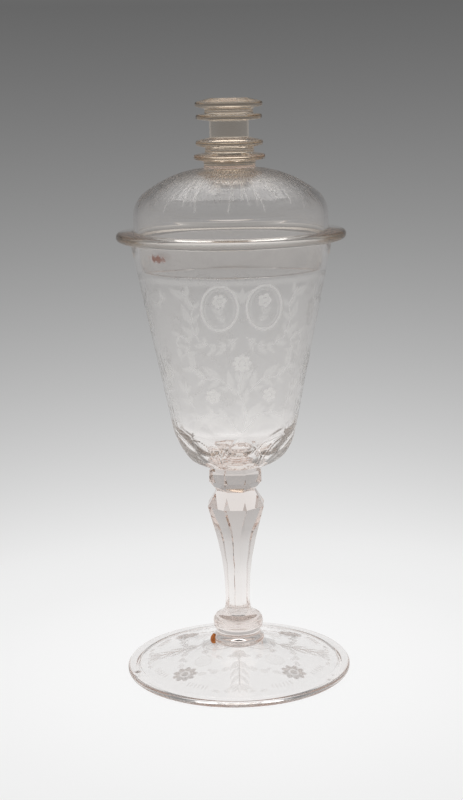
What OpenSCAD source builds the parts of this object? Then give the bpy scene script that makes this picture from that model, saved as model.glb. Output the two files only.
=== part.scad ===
// Covered goblet of thin colourless glass: a low conical foot with a folded rim, a cut
// baluster stem, a tall tapering bowl with hollow-cut petals round its base, and a loose
// domed cover with a ringed finial. Sizes are in millimetres. +Z is up, and the origin is
// the middle of the foot on the table.

/* [Foot] */
// Diameter over the folded rim
foot_d = 114; // [104:1:126]
// Thickness of the folded rim
foot_rim_t = 3; // [2.6:0.1:3.6]
// Width of the folded band, from the edge inwards
foot_fold_w = 6; // [5:0.5:8]
// Rise of the folded band from the edge to its inner border
foot_fold_rise = 0.6; // [0.3:0.1:1]
// Step from the folded band down to the plate
foot_fold_step = 0.4; // [0.2:0.1:0.6]
// Width of the flat ring that the foot rests on
foot_rest_w = 3; // [2:0.25:3.5]
// Thickness of the plate, measured upright
foot_plate_t = 2.4; // [2:0.1:3]
// Height of the seat that carries the collar
foot_h = 14.2; // [13:0.2:17]
// Diameter at which the plate turns up towards the seat
foot_rise_d = 42; // [36:1:50]
// Height of that steeper rise
foot_rise_h = 3.8; // [2.5:0.1:4.5]
// Radius that rounds the plate into that rise
foot_rise_round = 21; // [12:1:26]
// Thickness of the glass under the seat
foot_seat_t = 4; // [3:0.1:5]
// Diameter of the ground mark under the foot, where the pontil iron held it
pontil_d = 16; // [12:0.5:20]
// Depth of that mark
pontil_depth = 0.8; // [0.5:0.1:1.2]

/* [Collar and lower knop] */
// Diameter of the foot's seat and of the collar's underside
collar_seat_d = 25.2; // [24:0.2:26]
// Largest diameter of the collar
collar_d = 26.4; // [26:0.2:30]
// Height of the collar's bulging part
collar_bulge_h = 3; // [2.4:0.1:3.6]
// Height of the collar with its neck
collar_h = 6.2; // [5.4:0.1:7.5]
// Diameter of the neck between the collar and the lower knop
collar_neck_d = 22.4; // [20:0.2:24]
// Largest diameter of the lower knop
lower_knop_d = 25.2; // [24.4:0.2:30]
// Height of the lower knop
lower_knop_h = 9; // [8:0.2:12]
// Height of the curve under the lower knop's widest part
lower_knop_under_h = 2.1; // [1.6:0.1:3]
// Height of the curve over the lower knop's widest part
lower_knop_over_h = 2.1; // [1.6:0.1:3]
// Radius that rounds the lower knop
lower_knop_round = 4; // [2.5:0.1:5]
// Diameter of the lower knop's top, which carries the stem
lower_knop_top_d = 17; // [16.4:0.2:20]

/* [Stem] */
// Number of cut faces round the stem and the upper knop
facets = 8; // [8, 12]
// Turn of the cut faces about the axis, in degrees
facet_turn = -2; // [-20:1:20]
// Height of the stem
stem_h = 65; // [56:0.2:72]
// Width over the ridges at the bottom
stem_foot_w = 14.4; // [13:0.2:15.6]
// Width over the ridges at the waist
stem_waist_w = 12.2; // [11:0.2:13.4]
// Height at which the flare of the bottom ends
stem_flare_h = 4.5; // [3.5:0.1:6]
// Height at which the stem begins to widen again
stem_waist_h = 24.5; // [20:0.5:28]
// Radius that rounds the flare into the waist
stem_flare_round = 9; // [6:0.5:12]
// Radius that rounds the waist into the widening part
stem_waist_round = 128; // [90:2:140]
// Width over the ridges at the shoulder
stem_shoulder_w = 28; // [25:0.2:31]
// Height of the slope from the shoulder up to the top
stem_shoulder_h = 8.1; // [7:0.1:10]
// Width of the top, and of the upper knop's underside
stem_top_w = 18.6; // [16.6:0.2:20]
// Width of one ridge between two broad flutes, along the waist
stem_ridge_w = 2.8; // [2.2:0.1:3.4]
// Width of one ridge where it begins to spread towards the shoulder
stem_ridge_spread_w = 4.2; // [3.6:0.1:5]
// Height below the shoulder over which the ridges spread
stem_spread_h = 13.8; // [10:0.2:17]
// Radius that rounds the flutes where the ridges begin to spread
stem_spread_round = 42; // [25:1:55]

/* [Upper knop] */
// Height of the upper knop
knop_h = 12.4; // [11:0.1:14]
// Width over its faces at the lower edge of its belt
knop_w = 26.2; // [25:0.2:30]
// Width over its faces at the upper edge of its belt
knop_belt_top_w = 25.8; // [24.8:0.2:29]
// Height of the slope under the belt
knop_slope_h = 4.9; // [4:0.1:6]
// Height of the bevel above the belt
knop_bevel_h = 1.9; // [1.4:0.1:2.6]
// Width of the top, which carries the bowl
knop_top_w = 23.8; // [22:0.2:24.6]

/* [Bowl] */
// Height of the bowl
bowl_h = 113.2; // [100:0.2:130]
// Outer diameter at the rim
bowl_rim_d = 98.8; // [90:0.2:106]
// Thickness of the wall, measured level
bowl_wall = 2.2; // [1.8:0.1:2.8]
// Diameter of the seat under the bowl
bowl_seat_d = 24.4; // [22:0.2:26]
// Diameter at which the lines of wall and base would meet
bowl_corner_d = 54.2; // [50:0.2:58]
// Rise of the base from the seat to that corner
bowl_base_rise = 1.35; // [0.9:0.05:1.8]
// Radius that rounds the base into the wall
bowl_round = 20; // [16:0.5:23]
// Thickness of the glass from the seat to the bottom inside
bowl_floor_t = 5; // [4.4:0.2:7]
// Radius that rounds the bottom inside into the wall
bowl_inner_round = 24; // [19:0.5:26]
// Rounding of the lip
bowl_lip_round = 0.6; // [0.3:0.1:0.8]
// Number of petals cut round the base
petal_count = 8; // [8:1:10]
// Turn of the petals about the axis, in degrees
petal_turn = 6; // [-20:1:20]
// Height of the petals' arched tops above the seat
petal_h = 16; // [14:0.5:18]
// Bulge of a petal's face over its length
petal_bulge = 2.4; // [2:0.1:3]

/* [Cover] */
// Outer diameter of the cover's flange
flange_d = 112.2; // [106:0.2:124]
// Thickness of the rolled edge of the flange
flange_edge_t = 4; // [3.2:0.1:4.8]
// Rise of the flange from its edge to the seat of the dome
flange_rise = 0.6; // [0.3:0.1:1.2]
// Depth of the lip that centres the cover in the bowl
bezel_depth = 14; // [10:0.5:18]
// Thickness of that lip
bezel_wall = 2; // [1.6:0.1:2.6]
// Clearance between the lip and the wall of the bowl
bezel_gap = 0.7; // [0.5:0.1:1.2]
// Outer diameter of the dome
dome_d = 95; // [91:0.2:99]
// Thickness of the dome's wall
dome_wall = 2.2; // [1.8:0.1:2.8]
// Height of the dome, from the flange to the seat of the finial
dome_h = 29.9; // [27:0.1:34]
// Height at which the lines of wall and crown would meet
dome_corner_h = 14.5; // [12.5:0.1:16]
// Radius that rounds the wall into the crown
dome_round = 14.2; // [11:0.2:16]
// Diameter at which the crown flattens
dome_crown_d = 55.4; // [50:0.2:60]
// Fall of the crown from the finial's seat to that diameter
dome_crown_drop = 1.5; // [0.8:0.1:2]
// Radius that rounds the crown
dome_crown_round = 55; // [40:1:60]

/* [Finial] */
// Diameter of the neck on the dome
finial_neck_d = 25.6; // [24:0.2:28]
// Height of the neck
finial_neck_h = 3.1; // [2.4:0.1:4]
// Thickness of the rings' rolled edges
ring_edge_t = 2.2; // [1.8:0.1:2.6]
// Height of the middle of a ring's edge above its underside
ring_edge_up = 2.1; // [1.7:0.1:2.3]
// Diameter of the first ring, counted from below
ring_1_d = 34.6; // [31:0.2:38]
// Height of the first ring
ring_1_h = 4.1; // [3.7:0.1:5]
// Diameter of the waist between the first and second rings
waist_1_d = 24.2; // [22:0.2:26]
// Height of that waist
waist_1_h = 2.5; // [2:0.1:3.5]
// Diameter of the second ring
ring_2_d = 32.6; // [30:0.2:36]
// Height of the second ring
ring_2_h = 4.8; // [4:0.1:5.6]
// Diameter of the plain shaft
shaft_d = 19; // [17:0.2:21]
// Height of the plain shaft
shaft_h = 7.6; // [6:0.2:12]
// Diameter of the third ring
ring_3_d = 32; // [29:0.2:35]
// Height of the third ring
ring_3_h = 3.6; // [3.6:0.1:5]
// Diameter of the waist between the third and fourth rings
waist_2_d = 24; // [22:0.2:26]
// Height of that waist
waist_2_h = 2.4; // [2:0.1:3.5]
// Diameter of the fourth ring
ring_4_d = 32.6; // [30:0.2:36]
// Height of the fourth ring
ring_4_h = 5; // [4:0.1:6]
// Diameter of the flat top of the fourth ring
finial_top_d = 19.2; // [16:0.2:22]
// Depth of the cove turned into the neck and the waists
finial_cove = 0.5; // [0.2:0.1:0.7]

/* [Wax bead] */
// Height of the bead of old sealing wax beside the collar
wax_h = 6.4; // [5:0.2:8]
// Width of the bead
wax_w = 3.2; // [2.4:0.2:4]
// Direction of the bead from the axis, in degrees from +X
wax_angle = 197; // [0:1:359]

/* [Hidden] */
$fn = 96;
clear_glass = [0.86, 0.85, 0.83];
cut_glass = [0.78, 0.77, 0.76];
old_wax = [0.80, 0.36, 0.12];
// Steps in which a rounded corner of an outline is drawn
arc_steps = 8;
// Share of an edge that its two rounded corners may use up
arc_room = 0.98;
// Share of half the thickness that rounds a rolled edge
roll_share = 0.96;
// Length by which a cutting shape runs past what it cuts
overrun = 1;

// Heights of the joins, each on top of the piece below
collar_z = foot_h;
lower_knop_z = collar_z + collar_h;
stem_z = lower_knop_z + lower_knop_h;
upper_knop_z = stem_z + stem_h;
bowl_z = upper_knop_z + knop_h;
rim_z = bowl_z + bowl_h;
dome_z = rim_z + flange_edge_t + flange_rise;
finial_z = dome_z + dome_h;
ring_1_z = finial_z + finial_neck_h;
waist_1_z = ring_1_z + ring_1_h;
ring_2_z = waist_1_z + waist_1_h;
shaft_z = ring_2_z + ring_2_h;
ring_3_z = shaft_z + shaft_h;
waist_2_z = ring_3_z + ring_3_h;
ring_4_z = waist_2_z + waist_2_h;

// Outlines are lists of [radius, height, rounding]. Where the roundings of two neighbours
// don't fit on the edge between them, both shrink.
function spot(p) = [p[0], p[1]];
function unit(v) = v / norm(v);
function edge(path, i) = norm(spot(path[i + 1]) - spot(path[i]));
function half_angle(path, i) =
    acos(unit(spot(path[i - 1]) - spot(path[i])) * unit(spot(path[i + 1]) - spot(path[i]))) / 2;
function is_round(path, i) = i > 0 && i < len(path) - 1 && path[i][2] > 0;
function wanted(path, i) = is_round(path, i) ? path[i][2] / tan(half_angle(path, i)) : 0;
function share(path, i) =
    let (need = wanted(path, i) + wanted(path, i + 1))
    need > 0 ? min(1, arc_room * edge(path, i) / need) : 1;
function radius_at(path, i) = path[i][2] * min(share(path, i - 1), share(path, i));
function arc(centre, r, from, sweep) =
    [for (k = [0 : arc_steps])
        centre + r * [cos(from + sweep * k / arc_steps), sin(from + sweep * k / arc_steps)]];
function corner(path, i) =
    let (
        p = spot(path[i]),
        back = unit(spot(path[i - 1]) - p),
        on = unit(spot(path[i + 1]) - p),
        half = half_angle(path, i),
        r = radius_at(path, i),
        centre = p + unit(back + on) * r / sin(half),
        first = p + back * r / tan(half) - centre,
        last = p + on * r / tan(half) - centre,
        from = atan2(first[1], first[0]),
        sweep = (atan2(last[1], last[0]) - from + 540) % 360 - 180
    )
    arc(centre, r, from, sweep);
function rounded(path) =
    [for (i = [0 : len(path) - 1]) each is_round(path, i) ? corner(path, i) : [spot(path[i])]];

// An outline moved inwards by the thickness of a wall, with its roundings adjusted
function left_of(path, i) =
    let (d = unit(spot(path[i + 1]) - spot(path[i]))) [-d[1], d[0]];
function moved(path, i, t) =
    let (
        n = i == 0 ? left_of(path, 0) : left_of(path, i - 1),
        m = i == len(path) - 1 ? n : left_of(path, i),
        p = spot(path[i]) + (n + m) * t / (1 + n * m)
    )
    [p[0], p[1], max(0, path[i][2] - t)];
function inside(path, t) = [for (i = [0 : len(path) - 1]) moved(path, i, t)];
function reversed(path) = [for (i = [len(path) - 1 : -1 : 0]) path[i]];

// Solid of revolution that stands at a height
module turned(path, z = 0) {
    translate([0, 0, z])
        rotate_extrude()
            polygon(rounded(path));
}

// Long bar whose two sides follow an outline, as a cutting wheel would leave them
module slab(path, depth) {
    side = rounded(path);
    far_side = [for (p = reversed(side)) [-p[0], p[1]]];
    rotate([90, 0, 0])
        linear_extrude(height = depth, center = true)
            polygon(concat(side, far_side));
}

// Solid with flat-sided facets: every other pair of faces follows the second outline
module faceted(ridge, flute, depth, z) {
    translate([0, 0, z])
        rotate([0, 0, facet_turn])
            intersection_for (i = [0 : facets / 2 - 1])
                rotate([0, 0, i * 360 / facets])
                    slab(i % 2 == 0 ? ridge : flute, depth);
}

// Half width over the flutes that leaves ridges of a given width
function flute_half(ridge_half_w, ridge_w) =
    ridge_w / 2 * sin(360 / facets) + ridge_half_w * cos(360 / facets);
function regular_ridge_w(half_w) = 2 * half_w * tan(180 / facets);

// Foot with its folded rim, hollow underneath
module foot() {
    r = foot_d / 2;
    roll = roll_share * foot_rim_t / 2;
    fold_r = r - foot_fold_w;
    fold_z = foot_rim_t + foot_fold_rise;
    plate_r = fold_r - foot_fold_step;
    plate_z = fold_z - foot_fold_step;
    rise_r = foot_rise_d / 2;
    rise_z = foot_h - foot_rise_h;
    under_z = foot_h - foot_seat_t;
    color(clear_glass)
        turned([
            [0, under_z + pontil_depth, 0],
            [pontil_d / 2, under_z, 0],
            [rise_r, rise_z - foot_plate_t, foot_rise_round],
            [plate_r, plate_z - foot_plate_t, 0],
            [r - roll - foot_rest_w, 0, 0],
            [r, 0, roll],
            [r, foot_rim_t, roll],
            [fold_r, fold_z, foot_fold_step],
            [plate_r, plate_z, 0],
            [rise_r, rise_z, foot_rise_round],
            [collar_seat_d / 2, foot_h, 0],
            [0, foot_h, 0]
        ]);
}

// Collar between foot and lower knop, with its drawn-in neck
module foot_collar() {
    roll = roll_share * collar_bulge_h / 2;
    color(clear_glass)
        turned([
            [0, 0, 0],
            [collar_seat_d / 2, 0, 0],
            [collar_d / 2, (collar_bulge_h - roll) / 2, roll],
            [collar_d / 2, collar_bulge_h, roll],
            [collar_neck_d / 2, (collar_bulge_h + collar_h) / 2, roll],
            [collar_neck_d / 2, collar_h, 0],
            [0, collar_h, 0]
        ], collar_z);
}

// Flattened round knop under the stem
module lower_knop() {
    r = lower_knop_d / 2;
    color(clear_glass)
        turned([
            [0, 0, 0],
            [collar_neck_d / 2, 0, 0],
            [r, lower_knop_under_h, lower_knop_round],
            [r, lower_knop_h - lower_knop_over_h, lower_knop_round],
            [lower_knop_top_d / 2, lower_knop_h, 0],
            [0, lower_knop_h, 0]
        ], lower_knop_z);
}

// Baluster stem: broad hollow flutes between narrow ridges that spread to the shoulder
module stem() {
    shoulder_z = stem_h - stem_shoulder_h;
    spread_z = shoulder_z - stem_spread_h;
    slope = (stem_shoulder_w - stem_waist_w) / 2 / (shoulder_z - stem_waist_h);
    spread_half = stem_waist_w / 2 + slope * (spread_z - stem_waist_h);
    shoulder_half = stem_shoulder_w / 2;
    top_half = stem_top_w / 2;
    waist_flute = flute_half(stem_waist_w / 2, stem_ridge_w);
    ridge = [
        [stem_foot_w / 2, 0, 0],
        [stem_waist_w / 2, stem_flare_h, stem_flare_round],
        [stem_waist_w / 2, stem_waist_h, stem_waist_round],
        [shoulder_half, shoulder_z, 0],
        [top_half, stem_h, 0]
    ];
    flute = [
        [flute_half(stem_foot_w / 2, stem_ridge_w), 0, 0],
        [waist_flute, stem_flare_h, stem_flare_round],
        [waist_flute, stem_waist_h, stem_waist_round],
        [flute_half(spread_half, stem_ridge_spread_w), spread_z, stem_spread_round],
        [shoulder_half, shoulder_z, 0],
        [top_half, stem_h, 0]
    ];
    color(cut_glass)
        faceted(ridge, flute, stem_shoulder_w + 2 * overrun, stem_z);
}

// Knop between stem and bowl, cut with a belt of upright faces
module upper_knop() {
    outline = [
        [stem_top_w / 2, 0, 0],
        [knop_w / 2, knop_slope_h, 0],
        [knop_belt_top_w / 2, knop_h - knop_bevel_h, 0],
        [knop_top_w / 2, knop_h, 0]
    ];
    color(cut_glass)
        faceted(outline, outline, max(knop_w, knop_belt_top_w) + 2 * overrun, upper_knop_z);
}

// Radius of the bowl's straight outer wall at a height above its seat
function bowl_r(z) =
    bowl_corner_d / 2
    + (bowl_rim_d - bowl_corner_d) / 2 * (z - bowl_base_rise) / (bowl_h - bowl_base_rise);

// One pass of the cutting wheel: all that lies outside a petal's face
module petal_cut() {
    low = [bowl_seat_d / 2, 0];
    high = [bowl_r(petal_h), petal_h];
    length = norm(high - low);
    face_r = (pow(length / 2, 2) + pow(petal_bulge, 2)) / (2 * petal_bulge);
    lean = atan2(high[1] - low[1], high[0] - low[0]);
    rotate([90, 0, 0])
        linear_extrude(height = bowl_rim_d, center = true)
            translate(low)
                rotate(lean)
                    difference() {
                        translate([0, -bowl_round])
                            square([length, bowl_round]);
                        translate([length / 2, face_r - petal_bulge])
                            circle(r = face_r, $fn = 180);
                    }
}

// Tall tapering bowl, thick at the bottom, with petals cut round its base
module bowl() {
    inner_r = bowl_r(bowl_floor_t) - bowl_wall;
    rim_r = bowl_rim_d / 2;
    color(clear_glass)
        translate([0, 0, bowl_z])
            difference() {
                turned([
                    [0, 0, 0],
                    [bowl_seat_d / 2, 0, 0],
                    [bowl_corner_d / 2, bowl_base_rise, bowl_round],
                    [rim_r, bowl_h, bowl_lip_round],
                    [rim_r - bowl_wall, bowl_h, bowl_lip_round],
                    [inner_r, bowl_floor_t, bowl_inner_round],
                    [0, bowl_floor_t, 0]
                ]);
                for (i = [0 : petal_count - 1])
                    rotate([0, 0, petal_turn + i * 360 / petal_count])
                        petal_cut();
            }
}

// Bead of old sealing wax in the notch beside the collar
module wax_bead() {
    half_h = wax_h / 2;
    half_w = wax_w / 2;
    bead = [
        [0, -half_h, 0],
        [half_w, -half_h, half_w],
        [half_w, half_h, half_w],
        [0, half_h, 0]
    ];
    color(old_wax)
        difference() {
            rotate([0, 0, wax_angle])
                translate([collar_d / 2, 0, collar_z + collar_bulge_h / 2])
                    turned(bead);
            foot();
            foot_collar();
            lower_knop();
        }
}

// Flange of the cover, with its rolled edge and the lip that drops into the bowl
module cover_rim() {
    r = flange_d / 2;
    roll = roll_share * flange_edge_t / 2;
    seat_z = flange_edge_t + flange_rise;
    bore_r = dome_d / 2 - dome_wall;
    lip_top_r = bowl_r(bowl_h) - bowl_wall - bezel_gap;
    lip_low_r = bowl_r(bowl_h - bezel_depth) - bowl_wall - bezel_gap;
    lip_roll = roll_share * bezel_wall / 2;
    color(clear_glass)
        turned([
            [bore_r, seat_z, 0],
            [lip_top_r - bezel_wall, 0, bezel_wall],
            [lip_low_r - bezel_wall, -bezel_depth, lip_roll],
            [lip_low_r, -bezel_depth, lip_roll],
            [lip_top_r, 0, bowl_lip_round],
            [r, 0, roll],
            [r, flange_edge_t, roll],
            [dome_d / 2, seat_z, 0]
        ], rim_z);
}

// Dome of the cover, from the flange up to the seat of the finial
module cover_dome() {
    outer = [
        [dome_d / 2, 0, 0],
        [dome_d / 2, dome_corner_h, dome_round],
        [dome_crown_d / 2, dome_h - dome_crown_drop, dome_crown_round],
        [finial_neck_d / 2, dome_h, 0],
        [0, dome_h, 0]
    ];
    color(clear_glass)
        turned(concat(outer, reversed(inside(outer, dome_wall))), dome_z);
}

// Spool with a cove turned into its side
module spool(d, h, z) {
    color(clear_glass)
        turned([
            [0, 0, 0],
            [d / 2, 0, 0],
            [d / 2 - finial_cove, h / 2, h],
            [d / 2, h, 0],
            [0, h, 0]
        ], z);
}

// Ring with a rolled edge, between the seats of its two neighbours
module ring(d, h, low_d, high_d, z) {
    roll = roll_share * ring_edge_t / 2;
    color(clear_glass)
        turned([
            [0, 0, 0],
            [low_d / 2, 0, 0],
            [d / 2, ring_edge_up - ring_edge_t / 2, roll],
            [d / 2, ring_edge_up + ring_edge_t / 2, roll],
            [high_d / 2, h, 0],
            [0, h, 0]
        ], z);
}

module finial_neck() {
    spool(finial_neck_d, finial_neck_h, finial_z);
}

module finial_ring_1() {
    ring(ring_1_d, ring_1_h, finial_neck_d, waist_1_d, ring_1_z);
}

module finial_waist_1() {
    spool(waist_1_d, waist_1_h, waist_1_z);
}

module finial_ring_2() {
    ring(ring_2_d, ring_2_h, waist_1_d, shaft_d, ring_2_z);
}

// Plain round shaft in the middle of the finial
module finial_shaft() {
    color(clear_glass)
        translate([0, 0, shaft_z])
            cylinder(d = shaft_d, h = shaft_h);
}

module finial_ring_3() {
    ring(ring_3_d, ring_3_h, shaft_d, waist_2_d, ring_3_z);
}

module finial_waist_2() {
    spool(waist_2_d, waist_2_h, waist_2_z);
}

module finial_ring_4() {
    ring(ring_4_d, ring_4_h, waist_2_d, finial_top_d, ring_4_z);
}

foot();
foot_collar();
lower_knop();
stem();
upper_knop();
bowl();
wax_bead();
cover_rim();
cover_dome();
finial_neck();
finial_ring_1();
finial_waist_1();
finial_ring_2();
finial_shaft();
finial_ring_3();
finial_waist_2();
finial_ring_4();
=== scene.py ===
"""Covered goblet of old colourless glass: its cut, turned and engraved surfaces and its studio.

Sizes are in millimetres and become metres when a mesh is finished. The goblet stands on z = 0 with
its axis on z, and its front looks along -Y. Heights of the joins come from the frame's own nodes.
"""

import logging
import math
from dataclasses import dataclass
from enum import Enum
from functools import cache
from typing import Sequence

import bmesh
import bpy
import numpy as np
from mathutils import Matrix, Vector, noise

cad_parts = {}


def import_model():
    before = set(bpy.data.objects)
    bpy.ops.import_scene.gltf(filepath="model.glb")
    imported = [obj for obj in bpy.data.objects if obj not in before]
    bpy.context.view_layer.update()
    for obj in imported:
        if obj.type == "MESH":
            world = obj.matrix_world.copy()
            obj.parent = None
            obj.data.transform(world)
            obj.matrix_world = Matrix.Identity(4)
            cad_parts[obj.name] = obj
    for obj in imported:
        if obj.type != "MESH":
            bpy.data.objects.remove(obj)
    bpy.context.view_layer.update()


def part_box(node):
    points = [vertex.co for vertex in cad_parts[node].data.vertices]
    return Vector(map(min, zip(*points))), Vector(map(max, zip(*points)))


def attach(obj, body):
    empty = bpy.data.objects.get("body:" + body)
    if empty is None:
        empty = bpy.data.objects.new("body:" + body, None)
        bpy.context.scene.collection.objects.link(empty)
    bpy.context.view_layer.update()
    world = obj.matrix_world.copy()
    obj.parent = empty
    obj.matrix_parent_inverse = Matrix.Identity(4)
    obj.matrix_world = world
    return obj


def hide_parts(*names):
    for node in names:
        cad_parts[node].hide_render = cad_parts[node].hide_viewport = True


log = logging.getLogger("goblet")

MM = 0.001
# Depth by which a piece of glass runs on into the one that it is fused to
FUSE = 0.1
# Air left between the bowl's lip and the loose cover
LIP_AIR = 0.05
# Largest turn between two points of a rounded corner
ARC_STEP = math.radians(6)
# Shortest step that a rounded corner is drawn with
ARC_LENGTH = 0.25
# Share of an edge that its two rounded corners may use up
ARC_ROOM = 0.98
# Folds sharper than this stay crisp
CRISP = math.radians(11)
# Share of half the thickness that rounds a rolled edge
ROLL = 0.96
# Distance at which points of a turned mesh are one
SAME = 1e-4
# Equal sectors that a turned shape is put together from
SECTORS = 8
# Distance from a surface within which points belong to it
SKIN = 0.3
# Radii of the joins at the collar, under the bowl, at the flange and under the finial
COLLAR_JOIN = 12.7
BOWL_JOIN = 12.3
FLANGE_JOIN = 47.6
NECK_JOIN = 12.7
# Attributes that the finishes read from a piece
ENGRAVED = "engraved"
STAIN = "stain"
FUSED = "fused"

Point = tuple[float, float]
Colour = tuple[float, float, float]


class Body(Enum):
    """The two loose bodies of the object."""

    GOBLET = "goblet"
    COVER = "cover"


class Slot(Enum):
    """The record's material slots."""

    FOOT = "foot_glass"
    STEM = "stem_glass"
    BOWL = "bowl_glass"
    COVER = "cover_glass"
    FINIAL = "finial_glass"
    WAX = "sealing_wax"


class Value:
    """One output of a shader node, with arithmetic that adds Math nodes."""

    def __init__(self, shader: "Shader", socket: bpy.types.NodeSocket) -> None:
        """Keeps the tree and the output that this value stands for."""
        self.shader = shader
        self.socket = socket

    def math(self, operation: str, first: object, second: object = 0.0) -> "Value":
        """Adds a Math node.

        Args:
            operation: the node's operation, such as MULTIPLY.
            first: its first operand, a number or a Value.
            second: its second operand, a number or a Value.

        Returns:
            The result.
        """
        return self.shader.node("ShaderNodeMath", {"operation": operation}, {0: first, 1: second})

    def __add__(self, other: object) -> "Value":
        """This value plus another."""
        return self.math("ADD", self, other)

    def __rsub__(self, other: object) -> "Value":
        """A number less this value."""
        return self.math("SUBTRACT", other, self)

    def __mul__(self, other: object) -> "Value":
        """This value times another."""
        return self.math("MULTIPLY", self, other)

    def __truediv__(self, other: object) -> "Value":
        """This value divided by another."""
        return self.math("DIVIDE", self, other)

    def at_least(self, other: object) -> "Value":
        """The larger of this value and another."""
        return self.math("MAXIMUM", self, other)

    def at_most(self, other: object) -> "Value":
        """The smaller of this value and another."""
        return self.math("MINIMUM", self, other)

    def root(self) -> "Value":
        """The square root of this value."""
        return self.math("SQRT", self)


class Shader:
    """A node tree that is built from expressions."""

    def __init__(self, tree: bpy.types.NodeTree) -> None:
        """Empties the tree and starts afresh."""
        self.tree = tree
        tree.nodes.clear()

    def node(self, kind: str, settings: dict, inputs: dict, output: object = 0) -> Value:
        """Adds any node.

        Args:
            kind: the node's type.
            settings: what is set on the node itself; stops are the stops of its colour ramp.
            inputs: numbers, colours or Values for its sockets, by name or place.
            output: the name or place of the output that is wanted.

        Returns:
            That output.
        """
        node = self.tree.nodes.new(kind)
        for name, setting in settings.items():
            if name == "stops":
                self._fill_ramp(node.color_ramp, setting)
            else:
                setattr(node, name, setting)
        self._feed(node, inputs)
        return Value(self, node.outputs[output])

    def _feed(self, node: bpy.types.Node, inputs: dict) -> None:
        """Links or sets a node's inputs, by name or place."""
        for name, given in inputs.items():
            if isinstance(given, Value):
                self.tree.links.new(given.socket, node.inputs[name])
            else:
                node.inputs[name].default_value = given

    @staticmethod
    def _fill_ramp(ramp: bpy.types.ColorRamp, stops: Sequence[tuple[float, Colour]]) -> None:
        """Gives a colour ramp its stops."""
        while len(ramp.elements) < len(stops):
            ramp.elements.new(1.0)
        for element, (place, colour) in zip(ramp.elements, stops):
            element.position = place
            element.color = (*colour, 1.0)

    def mix(self, share: object, first: object, second: object) -> Value:
        """Mixes two colours.

        Args:
            share: the share of the second colour.
            first: a colour or a Value.
            second: a colour or a Value.

        Returns:
            The mixed colour.
        """
        first, second = ((*c, 1.0) if isinstance(c, tuple) else c for c in (first, second))
        return self.node("ShaderNodeMix", {"data_type": "RGBA"}, {0: share, 6: first, 7: second}, 2)

    def mark(self, name: str) -> Value:
        """Reads an attribute of the piece."""
        return self.node("ShaderNodeAttribute", {"attribute_name": name}, {}, "Fac")

    def noise(self, place: Value, size: float, detail: float) -> Value:
        """Adds noise whose waves have a size in millimetres."""
        inputs = {"Vector": place, "Scale": 1 / (size * MM), "Detail": detail}
        return self.node("ShaderNodeTexNoise", {}, inputs)

    def bump(self, height: Value) -> Value:
        """Turns heights in millimetres into a bumpy normal."""
        return self.node("ShaderNodeBump", {}, {"Strength": 1.0, "Distance": MM, "Height": height})

    def backfacing(self) -> Value:
        """Tells the back of a face, as 1, from its front."""
        return self.node("ShaderNodeNewGeometry", {}, {}, "Backfacing")

    def place(self) -> Value:
        """Place in the piece's own frame, in metres."""
        return self.node("ShaderNodeTexCoord", {}, {}, "Object")

    def axes(self, names: str) -> list[Value]:
        """Places along some axes, such as XY."""
        place = self.place()
        return [self.node("ShaderNodeSeparateXYZ", {}, {0: place}, name) for name in names]

    def blend(self, share: object, first: Value, second: Value) -> Value:
        """Mixes two shaders by the share of the second."""
        return self.node("ShaderNodeMixShader", {}, {0: share, 1: first, 2: second})

    def finish(self, kind: str, ends: dict) -> None:
        """Adds an output node and links what ends in it, such as Surface and Volume."""
        self._feed(self.tree.nodes.new(kind), ends)


def started(name: str) -> tuple[bpy.types.Material, Shader]:
    """Makes a material and its empty shader."""
    material = bpy.data.materials.new(name)
    material.use_nodes = True
    return material, Shader(material.node_tree)


def linked(name: str, data: bpy.types.ID) -> bpy.types.Object:
    """Puts data into the scene as an object."""
    made = bpy.data.objects.new(name, data)
    bpy.context.scene.collection.objects.link(made)
    return made


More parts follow.
